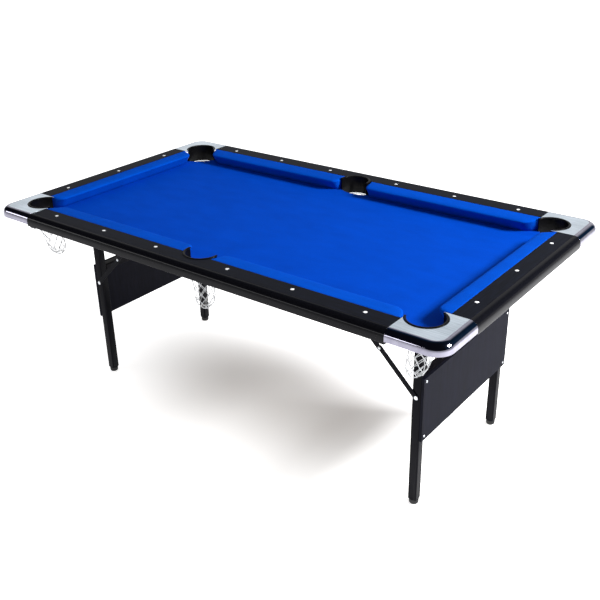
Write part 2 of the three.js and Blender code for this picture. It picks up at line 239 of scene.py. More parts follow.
def felt(name, color):
    """Short-napped cloth: fine fibres, a faint weave and slow changes in the nap."""
    cloth = Finish(name, color, 0.95, Sheen_Weight=0.05, Sheen_Roughness=0.4, Specular_IOR_Level=0.02)
    cloth.shader.inputs["Sheen Tint"].default_value = shade(color, 1.6)
    fibre = cloth.noise(1400, 3, distortion=1.2)
    nap = cloth.noise(9, 3, stretch=(1, 2.2, 1))
    streak = cloth.noise(160, 2, stretch=(1, 6, 1))
    tone = cloth.ramp(fibre, [(0.25, shade(color, 0.72)), (0.6, color), (0.85, shade(color, 1.28))])
    slow = cloth.ramp(nap, [(0.3, 0.88), (0.7, 1.0)])
    fine = cloth.ramp(streak, [(0.3, 0.93), (0.7, 1.0)])
    cloth.color(cloth.mix(cloth.mix(tone, slow, 1.0), fine, 1.0))
    cloth.roughness(fibre, 0.86, 1.0)
    return cloth.bump((streak, 0.15, 0.0004), (fibre, 0.45, 0.0005)).material


def grained_laminate(name, color, along, light, rough):
    """Printed wood-grain foil: long open pores along one axis, with slow lighter and darker bands."""
    foil = Finish(name, color, rough, Specular_IOR_Level=0.01, Coat_Weight=0.08, Coat_Roughness=0.42)
    stretch = tuple(0.035 if axis == along else 1.0 for axis in "xyz")
    pores = foil.noise(420, 4, stretch, 0.4)
    bands = foil.noise(46, 3, stretch, 1.5)
    tone = foil.ramp(pores, [(0.32, shade(color, 0.45)), (0.5, color), (0.72, shade(color, light))])
    slow = foil.ramp(bands, [(0.3, 0.7), (0.7, 1.0)])
    foil.color(foil.mix(tone, slow, 1.0))
    foil.roughness(pores, rough - 0.08, rough + 0.1)
    return foil.bump((pores, 0.25, 0.0002)).material


def gloss_black():
    thin_coat = {"Specular_IOR_Level": 0.01, "Coat_Weight": 0.2, "Coat_Roughness": 0.08}
    gloss = Finish("apron_gloss", rgb(12, 12, 15), 0.16, **thin_coat)
    waves = gloss.noise(26, 2)
    dust = gloss.noise(300, 4)
    gloss.color(gloss.ramp(dust, [(0.3, rgb(9, 9, 12)), (0.75, rgb(17, 17, 22))]))
    gloss.roughness(dust, 0.16, 0.3)
    return gloss.bump((waves, 0.05, 0.0006)).material


def brushed_metal():
    metal = Finish("brushed_metal", rgb(214, 218, 224), 0.34, 1.0, Anisotropic=0.35)
    lines = metal.noise(900, 3, (0.02, 1, 1))
    slow = metal.noise(18, 2)
    tone = metal.ramp(lines, [(0.3, rgb(190, 203, 214)), (0.7, rgb(230, 240, 250))])
    metal.color(metal.mix(tone, metal.ramp(slow, [(0.3, 0.92), (0.7, 1.0)]), 1.0))
    metal.roughness(lines, 0.26, 0.42)
    return metal.bump((lines, 0.12, 0.0001)).material


def polished_metal():
    metal = Finish("polished_metal", rgb(142, 140, 154), 0.08, 1.0)
    smudge = metal.noise(30, 3, distortion=0.6)
    fine = metal.noise(700, 2, (0.05, 0.05, 1))
    metal.color(metal.ramp(smudge, [(0.3, rgb(135, 133, 148)), (0.7, rgb(150, 148, 162))]))
    metal.roughness(smudge, 0.04, 0.1)
    return metal.bump((fine, 0.015, 0.00005)).material


def moulded_plastic(name, color, low, high, grain, depth, shine):
    plastic = Finish(name, color, (low + high) / 2, Specular_IOR_Level=0.01)
    plastic.shader.inputs["Coat Weight"].default_value = shine
    plastic.shader.inputs["Coat Roughness"].default_value = low
    texture = plastic.noise(grain, 3)
    cloud = plastic.noise(22, 3)
    tone = plastic.ramp(texture, [(0.3, shade(color, 0.8)), (0.7, shade(color, 1.25))])
    plastic.color(plastic.mix(tone, plastic.ramp(cloud, [(0.3, 0.85), (0.7, 1.0)]), 1.0))
    plastic.roughness(cloud, low, high)
    return plastic.bump((texture, 0.3, depth)).material


def powder_coat():
    thin_coat = {"Specular_IOR_Level": 0.01, "Coat_Weight": 0.09, "Coat_Roughness": 0.26}
    paint = Finish("powder_coat", rgb(14, 14, 20), 0.38, **thin_coat)
    peel = paint.noise(520, 2)
    cloud = paint.noise(14, 3)
    tone = paint.ramp(peel, [(0.3, rgb(7, 7, 11)), (0.75, rgb(14, 14, 22))])
    paint.color(paint.mix(tone, paint.ramp(cloud, [(0.3, 0.82), (0.7, 1.0)]), 1.0))
    paint.roughness(cloud, 0.28, 0.44)
    return paint.bump((peel, 0.2, 0.0003)).material


def zinc():
    metal = Finish("zinc_plate", rgb(205, 208, 212), 0.28, 1.0)
    cloud = metal.noise(260, 3)
    metal.color(metal.ramp(cloud, [(0.3, rgb(176, 180, 186)), (0.7, rgb(224, 227, 230))]))
    metal.roughness(cloud, 0.2, 0.38)
    return metal.bump((cloud, 0.08, 0.0002)).material


def pearl():
    shell = Finish("pearl_sight", rgb(235, 236, 238), 0.22, Coat_Weight=0.5, Coat_Roughness=0.08)
    cloud = shell.noise(240, 3, distortion=2.0)
    cool, pale, warm = rgb(212, 216, 224), rgb(240, 240, 240), rgb(226, 220, 214)
    shell.color(shell.ramp(cloud, [(0.3, cool), (0.55, pale), (0.75, warm)]))
    return shell.bump((cloud, 0.05, 0.0001)).material


def net_cord():
    cord = Finish("net_cord", rgb(236, 236, 232), 0.85, Sheen_Weight=0.3, Specular_IOR_Level=0.25)
    strands = cord.noise(900, 2, distortion=1.0)
    soil = cord.noise(40, 3)
    tone = cord.ramp(strands, [(0.3, rgb(164, 167, 172)), (0.6, rgb(214, 216, 218))])
    cord.color(cord.mix(tone, cord.ramp(soil, [(0.25, 0.88), (0.6, 1.0)]), 1.0))
    return cord.bump((strands, 0.5, 0.0005)).material


def fibreboard():
    board = Finish("fibreboard", rgb(120, 103, 84), 0.8)
    chips = board.noise(240, 4, distortion=0.8)
    cloud = board.noise(7, 3)
    tone = board.ramp(chips, [(0.25, rgb(88, 73, 57)), (0.5, rgb(120, 103, 84)), (0.8, rgb(146, 127, 104))])
    board.color(board.mix(tone, board.ramp(cloud, [(0.3, 0.85), (0.7, 1.0)]), 1.0))
    board.roughness(chips, 0.7, 0.9)
    return board.bump((chips, 0.25, 0.0004)).material


def studio_floor():
    """White paper with painted light: it glows by itself, less so under the table, which leaves a painted
    shadow there as a soft dark patch.
    """
    floor = Finish("studio_floor", rgb(238, 238, 238), 0.6, Specular_IOR_Level=0.2)
    floor.shader.inputs["Emission Color"].default_value = (1.0, 1.0, 1.0, 1.0)
    spread = floor.tree.nodes.new("ShaderNodeMapping")
    spread.inputs["Scale"].default_value = (0.55, 1.0, 1.0)
    floor.link(floor.place, spread.inputs["Vector"])
    away = floor.tree.nodes.new("ShaderNodeVectorMath")
    away.operation = "LENGTH"
    floor.link(spread.outputs["Vector"], away.inputs[0])
    # Painted shadow: the glow grows with distance from the table's middle, so it is weakest under the table.
    lit = floor.tree.nodes.new("ShaderNodeMapRange")
    lit.interpolation_type = "SMOOTHSTEP"
    lit.inputs["From Min"].default_value = 0.05
    lit.inputs["From Max"].default_value = 0.62
    lit.inputs["To Min"].default_value = 0.14
    lit.inputs["To Max"].default_value = 0.96
    floor.link(away.outputs["Value"], lit.inputs["Value"])
    floor.link(lit.outputs["Result"], floor.shader.inputs["Emission Strength"])
    cloud = floor.noise(1.5, 3)
    floor.color(floor.ramp(cloud, [(0.3, rgb(236, 236, 237)), (0.7, rgb(240, 240, 240))]))
    floor.roughness(cloud, 0.55, 0.7)
    return floor.material


FELT_BED = felt("felt_bed", rgb(0, 68, 186))
# The cushion felt is a slightly lighter copy of the bed felt: partly painted light on the cushion tops,
# partly their different nap.
FELT_CUSHION = felt("felt_cushion", rgb(0, 74, 188))
LAMINATE_X = grained_laminate("laminate_along_x", rgb(12, 15, 25), "x", 1.8, 0.46)
LAMINATE_Y = grained_laminate("laminate_along_y", rgb(12, 15, 25), "y", 1.8, 0.46)
PANEL_SKIN = grained_laminate("panel_skin", rgb(15, 16, 27), "z", 1.3, 0.6)
GLOSS = gloss_black()
BRUSHED = brushed_metal()
POLISHED = polished_metal()
POCKET_PLASTIC = moulded_plastic("pocket_plastic", rgb(10, 10, 12), 0.28, 0.42, 600, 0.0002, 0.16)
FOOT_PLASTIC = moulded_plastic("foot_plastic", rgb(11, 11, 13), 0.12, 0.24, 400, 0.00008, 0.6)
PAINT = powder_coat()
ZINC = zinc()
PEARL = pearl()
CORD = net_cord()
BOARD = fibreboard()


# ---- mesh building ----
def arc(centre, radius, start, end, steps):
    """Points of a round arc in plan, by angles in degrees."""
    turns = [math.radians(start + (end - start) * i / steps) for i in range(steps + 1)]
    return [Vector((centre.x + radius * math.cos(t), centre.y + radius * math.sin(t))) for t in turns]


def bend(first, control, last, steps):
    """Points of a quadratic curve, pulled towards its control point."""
    points = []
    for i in range(steps + 1):
        t = i / steps
        points.append(first * (1 - t) ** 2 + control * (2 * t * (1 - t)) + last * t * t)
    return points


def flat(*pairs):
    return [Vector(pair) for pair in pairs]


def at(points, z):
    return [Vector((p.x, p.y, z)) for p in points]


def mirror(points, sx, sy):
    return [Vector((p.x * sx, p.y * sy) + tuple(p[2:])) for p in points]


def grid(rows, columns, close_rows=False, close_columns=False):
    faces = []
    for r in range(rows if close_rows else rows - 1):
        for c in range(columns if close_columns else columns - 1):
            below, above, right = r * columns, (r + 1) % rows * columns, (c + 1) % columns
            faces.append((below + c, below + right, above + right, above + c))
    return faces


def loft(rings, closed=False):
    """A skin through closed rings, with its two ends filled unless the last ring meets the first."""
    width = len(rings[0])
    faces = grid(len(rings), width, closed, True)
    if not closed:
        last = (len(rings) - 1) * width
        faces += [tuple(range(width)), tuple(range(last, last + width))]
    return [p for ring in rings for p in ring], faces


def strip(rows):
    """An open sheet through rows of points."""
    return [p for row in rows for p in row], grid(len(rows), len(rows[0]))


def prism(points, bottom, top):
    return loft([at(points, bottom), at(points, top)])


def carried(section, ways):
    """A closed section of (a, b) points, placed by each function in ways, as one skin."""
    return loft([[way(p) for p in section] for way in ways])


def joined(*parts):
    verts, faces = [], []
    for part_verts, part_faces in parts:
        start = len(verts)
        verts += part_verts
        faces += [tuple(start + i for i in face) for face in part_faces]
    return verts, faces


def moved(part, matrix):
    return [matrix @ Vector(p) for p in part[0]], part[1]


def lathe(profile, steps, place=Matrix.Identity(4)):
    """A turned solid about Z, from (radius, height) points, then placed."""
    rings = []
    for i in range(steps):
        turn = math.tau * i / steps
        rings.append([Vector((r * math.cos(turn), r * math.sin(turn), z)) for r, z in profile])
    verts = [place @ p for ring in rings for p in ring]
    return verts, grid(steps, len(profile), True, False)


def tube(points, radius, sides, closed=False):
    """A round cord through points, its section carried along without twisting."""
    count = len(points)
    rings = []
    normal = None
    for i, point in enumerate(points):
        ahead = points[(i + 1) % count] if closed or i < count - 1 else point
        behind = points[i - 1] if closed or i > 0 else point
        tangent = (ahead - behind).normalized()
        if normal is None:
            normal = tangent.orthogonal().normalized()
        normal = (normal - tangent * normal.dot(tangent)).normalized()
        other = tangent.cross(normal)
        ring = []
        for k in range(sides):
            turn = math.tau * k / sides
            ring.append(point + (normal * math.cos(turn) + other * math.sin(turn)) * radius)
        rings.append(ring)
    return loft(rings, closed)


def piece(name, part, material, body, slot, stands_for=(), thickness=0.0, bevel=0.0, segments=2, merge=1e-6):
    """One finished object: its mesh, material, body and the CAD nodes that it stands for. The slot is not
    used.

    Without a bevel its creases are kept sharp. A thickness is laid behind an open sheet.
    """
    verts, faces = part
    mesh = bpy.data.meshes.new(name)
    mesh.from_pydata([tuple(v) for v in verts], [], faces)
    work = bmesh.new()
    work.from_mesh(mesh)
    bmesh.ops.remove_doubles(work, verts=work.verts, dist=merge)
    bmesh.ops.recalc_face_normals(work, faces=work.faces)
    for face in work.faces:
        face.smooth = True
    if not bevel:
        for edge in work.edges:
            if len(edge.link_faces) == 2 and edge.calc_face_angle(0) > math.radians(40):
                edge.smooth = False
    work.to_mesh(mesh)
    work.free()
    obj = bpy.data.objects.new(name, mesh)
    bpy.context.scene.collection.objects.link(obj)
    for item in material if isinstance(material, (list, tuple)) else (material,):
        mesh.materials.append(item)
    if thickness:
        thicken(obj, thickness)
    if bevel:
        add_bevel(obj, bevel, segments)
    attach(obj, body)
    if stands_for:
        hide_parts(*stands_for)
    return obj


def add_bevel(obj, width, segments=2):
    rounding = obj.modifiers.new("edges", "BEVEL")
    rounding.width = width
    rounding.segments = segments
    rounding.limit_method = "ANGLE"
    rounding.angle_limit = math.radians(32)
    rounding.harden_normals = True
    rounding.use_clamp_overlap = True


def thicken(obj, thickness):
    shell = obj.modifiers.new("thickness", "SOLIDIFY")
    shell.thickness = thickness
    shell.offset = -1.0
    shell.use_even_offset = True


def facing(normal, place):
    """A matrix that turns +Z to a normal and moves to a place."""
    turn = Vector(normal).to_track_quat("Z", "Y").to_matrix().to_4x4()
    return Matrix.Translation(place) @ turn


# ---- the bed ----
def hole_edge(centre, shelf, start, end, steps):
    """The edge of a drop hole, a circle stopped at the front by the bed's shelf, by angles in degrees."""
    away = Vector((1, 1)).normalized() if centre.x else Vector((0, 1))
    offset = SHELF_ARC - shelf
    points = []
    for i in range(steps + 1):
        turn = math.radians(start + (end - start) * i / steps)
        way = Vector((math.cos(turn), math.sin(turn)))
        along = offset * away.dot(way)
        reach = min(HOLE_RADIUS, along + math.sqrt(along * along - offset * offset + SHELF_ARC ** 2))
        points.append(centre + way * reach)
    return points


def angle_to(centre, radius, x=None, y=None, turn=1):
    """The angle, in degrees, at which a circle meets a line of constant x or y."""
    if y is not None:
        return math.degrees(math.asin((y - centre.y) / radius))
    return turn * math.degrees(math.acos((x - centre.x) / radius))


def cloth_notches(edge_x, edge_y):
    """The cut edges of the cloth at the six pockets, going round the bed counter-clockwise."""
    corner_up = 180 - angle_to(CORNER_POCKET, HOLE_RADIUS, y=edge_y)
    corner_down = 360 + angle_to(CORNER_POCKET, HOLE_RADIUS, x=edge_x, turn=-1)
    corner = hole_edge(CORNER_POCKET, CORNER_SHELF, corner_down, corner_up, 44)
    lift = angle_to(SIDE_POCKET, HOLE_RADIUS, y=edge_y)
    side = hole_edge(SIDE_POCKET, SIDE_SHELF, lift, -180 - lift, 52)
    back = [corner, side, mirror(corner, -1, 1)[::-1]]
    front = [mirror(notch, -1, -1) for notch in back]
    return back + front


def build_bed():
    edge_x, edge_y = RAIL_IN_X - GAP, RAIL_IN_Y - GAP
    roll, hang = 0.0026, 0.011
    skin = 0.0007
    ring, parts = [], []
    for notch in cloth_notches(edge_x, edge_y):
        outward = []
        for i in range(len(notch)):
            run = (notch[min(i + 1, len(notch) - 1)] - notch[max(i - 1, 0)]).normalized()
            outward.append(Vector((-run.y, run.x)))
        rows = []
        for step in range(7):
            turn = math.radians(90 * step / 6)
            out, down = roll * math.sin(turn) - roll + skin, roll * (1 - math.cos(turn))
            rows.append([Vector((*(p + n * out), BED_TOP - down)) for p, n in zip(notch, outward)])
        rows.append([Vector((p.x, p.y, BED_TOP - hang)) for p in rows[-1]])
        parts.append(strip(rows))
        ring += rows[0]
    parts.append((ring, [tuple(range(len(ring)))]))
    part = joined(*parts)
    cloth = piece("bed_cloth_stretched", part, FELT_BED, "table_top", "felt", ["bed_cloth"], skin)
    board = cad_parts["bed_board"]
    board.data.materials.clear()
    board.data.materials.append(BOARD)
    add_bevel(board, 0.0008)


# ---- cushions ----
def cushion_section():
    """From the foot of the nose to the back of the top: (share of the undercut, height above the bed)."""
    foot = BED_TOP + GAP
    nose = RAIL_TOP - 0.0095
    lip, under = foot + 0.0008, nose - 0.0035
    rows = [(1.0, foot), (0.92, lip)]
    rows += [(0.92 - 0.84 * t, lip + (under - lip) * t) for t in (0.33, 0.66, 1.0)]
    rows += [(0.025, nose - 0.0018), (0.0, nose), (0.02, nose + 0.0018), (0.07, nose + 0.003)]
    rows += [(0.16, nose + 0.0043), (0.33, nose + 0.0056), (0.6, nose + 0.0068)]
    return rows


def build_cushion(name, top, bottom, back, place, node):
    """A cushion lofted between two plan curves, (along, out from the middle), and its straight back."""
    rings = []
    crown, tuck = 0.0005, 0.0009
    for high, low in zip(top, bottom):
        ring = [place(Vector((high.x, back)), BED_TOP + GAP)]
        for share, z in cushion_section():
            ring.append(place(high.lerp(low, share), z))
        start = high.lerp(low, 0.6)
        end = Vector((high.x, back))
        start_z, end_z = cushion_section()[-1][1], RAIL_TOP - 0.0004
        for t in (0.3, 0.6, 0.85, 0.97):
            z = start_z + (end_z - start_z) * t + crown * math.sin(math.pi * t)
            ring.append(place(start.lerp(end, t), z))
        ring.append(place(end, end_z - tuck))
        rings.append(ring)
    obj = piece(name, loft(rings), FELT_CUSHION, "table_top", "felt", [node])
    return obj


def between(first, last, steps):
    return [first.lerp(last, i / steps) for i in range(1, steps)]


def jaw(start, turn, end, front, back):
    """A cushion's end in plan: straight along its front to start, then curving back into the pocket."""
    return bend(Vector((start, front)), Vector((turn, front)), Vector((end, back)), 14)


def build_cushions():
    back_y, back_x = RAIL_IN_Y - GAP, RAIL_IN_X - GAP
    undercut = 0.024
    low_y, low_x = NOSE_Y + undercut, NOSE_X + undercut
    side_end, corner_end = 0.088, 0.688
    side_jaw = jaw(side_end, 0.0625, 0.0605, NOSE_Y, JAW_BACK_Y)[::-1]
    side_foot = jaw(side_end, 0.0675, 0.0655, low_y, JAW_BACK_Y)[::-1]
    corner_jaw = jaw(corner_end, 0.716, 0.7382, NOSE_Y, JAW_BACK_Y)
    corner_foot = jaw(corner_end, 0.709, 0.7345, low_y, JAW_BACK_Y)
    top = side_jaw + between(side_jaw[-1], corner_jaw[0], 24) + corner_jaw
    bottom = side_foot + between(side_foot[-1], corner_foot[0], 24) + corner_foot
    for name, sx, sy in CORNERS:
        place = lambda p, z, sx=sx, sy=sy: Vector((p.x * sx, p.y * sy, z))
        build_cushion(f"cushion_cloth_{name}", top, bottom, back_y, place, f"cushion_{name}")
    end_jaw = jaw(0.318, 0.346, 0.3556, NOSE_X, JAW_BACK_X)
    end_foot = jaw(0.318, 0.338, 0.3515, low_x, JAW_BACK_X)
    across = lambda half: mirror(half, -1, 1)[::-1] + between(mirror(half, -1, 1)[0], half[0], 24) + half
    top, bottom = across(end_jaw), across(end_foot)
    for name, sx in ENDS:
        place = lambda p, z, sx=sx: Vector((p.y * sx, p.x, z))
        build_cushion(f"cushion_cloth_{name}", top, bottom, back_x, place, f"cushion_{name}")


# ---- rails, aprons and castings ----
def shoulder(steps=18):
    """The rounded outer edge, as (how far out, height) from the flat top to the widest point."""
    turns = [math.pi / 2 * i / steps for i in range(steps + 1)]
    return [(SHOULDER_OUT * math.sin(t), RAIL_TOP - SHOULDER_DROP * (1 - math.cos(t))) for t in turns]


def build_rails():
    lift = angle_to(SIDE_POCKET, NOTCH_RADIUS, y=RAIL_IN_Y)
    notch = arc(SIDE_POCKET, NOTCH_RADIUS, lift, 180 - lift, 40)
    outline = flat((RAIL_END_X, RAIL_IN_Y), (RAIL_END_X, RAIL_OUT_Y))
    outline += flat((-RAIL_END_X, RAIL_OUT_Y), (-RAIL_END_X, RAIL_IN_Y)) + notch[::-1]
    for name, sy in SIDES:
        part = prism(mirror(outline, 1, sy), RAIL_BOTTOM, RAIL_TOP)
        stands_for = [f"rail_{name}"]
        piece(f"rail_top_{name}", part, LAMINATE_X, "table_top", "rail_laminate", stands_for, bevel=0.0009)
    end = flat((RAIL_IN_X, -RAIL_END_Y), (RAIL_OUT_X, -RAIL_END_Y))
    end += flat((RAIL_OUT_X, RAIL_END_Y), (RAIL_IN_X, RAIL_END_Y))
    for name, sx in ENDS:
        part = prism(mirror(end, sx, 1), RAIL_BOTTOM, RAIL_TOP)
        stands_for = [f"rail_{name}"]
        piece(f"rail_top_{name}", part, LAMINATE_Y, "table_top", "rail_laminate", stands_for, bevel=0.0009)


def build_aprons():
    section = [(GAP, APRON_BOTTOM), (GAP, RAIL_TOP)] + shoulder()[1:]
    section += [(SHOULDER_OUT, APRON_BOTTOM + 0.004), (SHOULDER_OUT - 0.001, APRON_BOTTOM + 0.0012)]
    section += [(SHOULDER_OUT - 0.0035, APRON_BOTTOM)]
    for name, sy in SIDES:
        ways = [lambda p, x=x: Vector((x, sy * (RAIL_OUT_Y + p[0]), p[1])) for x in (-RAIL_END_X, RAIL_END_X)]
        part = carried(section, ways)
        piece(f"apron_edge_{name}", part, GLOSS, "table_top", "apron_gloss", [f"apron_{name}"], bevel=0.0006)
    for name, sx in ENDS:
        ways = [lambda p, y=y: Vector((sx * (RAIL_OUT_X + p[0]), y, p[1])) for y in (-RAIL_END_Y, RAIL_END_Y)]
        part = carried(section, ways)
        piece(f"apron_edge_{name}", part, GLOSS, "table_top", "apron_gloss", [f"apron_{name}"], bevel=0.0006)


def build_castings():
    corner = Vector((RAIL_OUT_X - CORNER_RADIUS, RAIL_OUT_Y - CORNER_RADIUS))
    rim = arc(corner, CORNER_RADIUS, 90, 0, 24)
    path = [(Vector((CASTING_END.x, RAIL_OUT_Y)), Vector((0, 1)))]
    path += [(p, (p - corner).normalized()) for p in rim]
    path += [(Vector((RAIL_OUT_X, CASTING_END.y)), Vector((1, 0)))]
    first = angle_to(CORNER_POCKET, NOTCH_RADIUS, y=CASTING_END.y)
    last = angle_to(CORNER_POCKET, NOTCH_RADIUS, x=CASTING_END.x)
    inner = arc(CORNER_POCKET, NOTCH_RADIUS, first, last, 56)
    section = shoulder() + [(SHOULDER_OUT, CASTING_BOTTOM)]
    for name, sx, sy in CORNERS:
        top = [p for p, _ in path] + inner
        plate = (at(mirror(top, sx, sy), RAIL_TOP), [tuple(range(len(top)))])
        rows = []
        for out, z in section:
            rows.append(at(mirror([p + n * out for p, n in path], sx, sy), z))
        part = joined(plate, strip(rows))
        stands_for, metals = [f"corner_casting_{name}"], (BRUSHED, POLISHED)
        look = {"thickness": CASTING_WALL, "bevel": 0.0007}
        obj = piece(f"casting_{name}", part, metals, "table_top", "corner_metal", stands_for, **look)
        for face in obj.data.polygons:
            face.material_index = 0 if face.normal.z > 0.999 and len(face.vertices) > 4 else 1


# ---- pockets ----
POCKETS = [(name, sx, sy, CORNER_POCKET, CORNER_LINER_ARC) for name, sx, sy in CORNERS]
POCKETS += [(f"{name}_middle", 1, sy, SIDE_POCKET, SIDE_LINER_ARC) for name, sy in SIDES]


def build_liner(name, sx, sy, centre, span):
    lip = Vector((0.0569, RAIL_TOP))
    lip_half, lip_rise = 0.0041, 0.0022
    collar_out, chamfer = 0.066, 0.001
    low, neck = RING_BOTTOM + chamfer, RAIL_TOP - 0.0035
    section = [(LINER_IN, low), (LINER_IN, neck)]
    for i in range(13):
        turn = math.radians(205 - 230 * i / 12)
        section.append((lip.x + lip_half * math.cos(turn), lip.y + lip_rise * math.sin(turn)))
    section += [(LINER_OUT, neck), (LINER_OUT, low)]
    wall = []
    steps = 72
    for i in range(steps + 1):
        turn = math.radians(span[0] + (span[1] - span[0]) * i / steps)
        way = Vector((math.cos(turn), math.sin(turn)))
        ring = [centre + way * r for r, _ in section]
        wall.append([Vector((p.x * sx, p.y * sy, z)) for p, (_, z) in zip(ring, section)])
    middle = Vector((centre.x * sx, centre.y * sy, 0))
    ring_top = BOARD_BOTTOM - GAP
    ring = [(LINER_IN, low), (LINER_IN + chamfer, RING_BOTTOM), (collar_out - chamfer, RING_BOTTOM)]
    ring += [(collar_out, low), (collar_out, ring_top), (LINER_IN, ring_top), (LINER_IN, low)]
    collar = lathe(ring, 72, Matrix.Translation(middle))
    part = joined(loft(wall), collar)
    stands_for = [f"pocket_liner_{name}"]
    piece(f"pocket_cup_{name}", part, POCKET_PLASTIC, "table_top", "pocket_plastic", stands_for, bevel=0.0004)


def bag_radius(share):
    """The hanging net's radius by its share of the height, from the bottom up."""
    knots = [(0, 0.012), (0.03, 0.019), (0.13, 0.0295), (0.29, 0.0335), (0.44, 0.0340)]
    knots += [(0.62, 0.0350), (0.84, 0.0415), (1, 0.0545)]
    for (low, first), (high, last) in zip(knots, knots[1:]):
        if share <= high:
            t = (share - low) / (high - low)
            t = t * t * (3 - 2 * t) * 0.35 + t * 0.65
            return first + (last - first) * t
    return knots[-1][1]


def build_net(name, sx, sy, centre, _):
    """A knotted net: two crossing families of cords between a hem ring and a gathered bottom."""
    columns, rows = 8, 7
    gathering = 1.25
    cord, hem, knot, knot_height = 0.0010, 0.0016, 0.0019, 0.85
    turn_play, height_play, slack = 0.035, 0.010, 0.0012
    top, bottom = RING_BOTTOM - 0.0022, BAG_BOTTOM + 0.005
    draw = random.Random(f"net {name}")
    lean = Vector((-sx * BAG_LEAN.x, -sy * BAG_LEAN.y)) if centre.x else Vector((0, 0))
    middle = Vector((centre.x * sx, centre.y * sy))

    def spot(turn, share, shrink=0.0):
        radius = bag_radius(share) - shrink
        hung = middle + lean * (1 - share)
        height = bottom + (top - bottom) * share
        return Vector((hung.x + radius * math.cos(turn), hung.y + radius * math.sin(turn), height))

    knots = []
    for row in range(rows + 1):
        share = (1 - row / rows) ** gathering
        line = []
        for column in range(columns):
            turn = math.tau * (column + row / 2) / columns + draw.uniform(-turn_play, turn_play) * (0 < row)
            wobble = draw.uniform(-height_play, height_play) * (0 < row < rows)
            line.append(spot(turn, min(max(share + wobble, 0), 1), draw.uniform(0, slack)))
        knots.append(line)
    parts = []
    for column in range(columns):
        for way in (0, 1):
            path = [knots[row][(column - way * row) % columns] for row in range(rows + 1)]
            fine = []
            for first, last in zip(path, path[1:]):
                fine += [first, first.lerp(last, 0.33), first.lerp(last, 0.67)]
            parts.append(tube(fine + [path[-1]], cord, 6))
    for row in range(1, rows + 1):
        for spot_at in knots[row]:
            turns = [math.pi * i / 5 for i in range(6)]
            profile = [(knot * math.sin(t), -knot * knot_height * math.cos(t)) for t in turns]
            out = Vector((spot_at.x - middle.x - lean.x, spot_at.y - middle.y - lean.y, 0))
            parts.append(lathe(profile, 7, facing(out + Vector((0, 0, 0.001)), spot_at)))
    ring = [spot(math.tau * i / 60, 1.0) for i in range(60)]
    parts.append(tube(ring, hem, 8, True))
    foot = [spot(math.tau * i / 24, 0.0) + Vector((0, 0, 0.0004)) for i in range(24)]
    parts.append(tube(foot, hem, 8, True))
    piece(f"net_{name}", joined(*parts), CORD, "table_top", "net_cord", [f"net_bag_{name}"], merge=1e-7)


# ---- leg frames ----
def rounded_square(half_x, half_y, radius, steps=5):
    points = []
    for cx, cy, start in ((1, 1, 0), (-1, 1, 90), (-1, -1, 180), (1, -1, 270)):
        centre = Vector((cx * (half_x - radius), cy * (half_y - radius)))
        points += arc(centre, radius, start, start + 90, steps)
    return points


def build_leg(name, sx, sy, side):
    centre = Vector((LEG_X * sx, LEG_Y * sy))
    wall, outer_round, inner_round = 0.0015, 0.0042, 0.0028
    outer = [p + centre for p in rounded_square(LEG_HALF, LEG_HALF, outer_round)]
    inner = [p + centre for p in rounded_square(LEG_HALF - wall, LEG_HALF - wall, inner_round)]
    low, high = LEG_LOW.z, LEG_HIGH.z
    edge = 0.0004
    slim = [p + (centre - p).normalized() * edge for p in outer]
    rings = [at(inner, low), at(slim, low), at(outer, low + edge)]
    rings += [at(outer, high - edge), at(slim, high), at(inner, high)]
    part = loft(rings, closed=True)
    piece(f"leg_tube_{name}", part, PAINT, f"leg_frame_{side}", "leg_paint", [f"leg_{name}"])


def build_foot(name, sx, sy, side):
    radius, collar, crest, root = 0.016, 0.0085, 0.0050, 0.0043
    step, screw_top = 0.0002, 0.045
    profile = [(0, 0), (0.0105, 0), (0.0118, 0.0004), (0.0142, 0.0016), (0.0154, 0.0034), (radius, 0.0062)]
    profile += [(radius, FOOT_TOP - 0.0016), (radius - 0.0005, FOOT_TOP - 0.0005)]
    profile += [(radius - 0.0016, FOOT_TOP), (collar, FOOT_TOP)]
    profile += [(collar, FOOT_TOP + step), (crest, FOOT_TOP + step)]
    turns, pitch = 14, 0.0018
    for i in range(turns):
        z = FOOT_TOP + 2 * step + pitch * i * 0.98
        profile += [(crest, z), (root, z + pitch / 2)]
    profile += [(0.004, screw_top - step), (0, screw_top)]
    part = lathe(profile, 40, Matrix.Translation(Vector((LEG_X * sx, LEG_Y * sy, 0))))
    piece(f"foot_{name}", part, FOOT_PLASTIC, f"leveler_{name}", "foot_plastic", [f"leveler_{name}"])


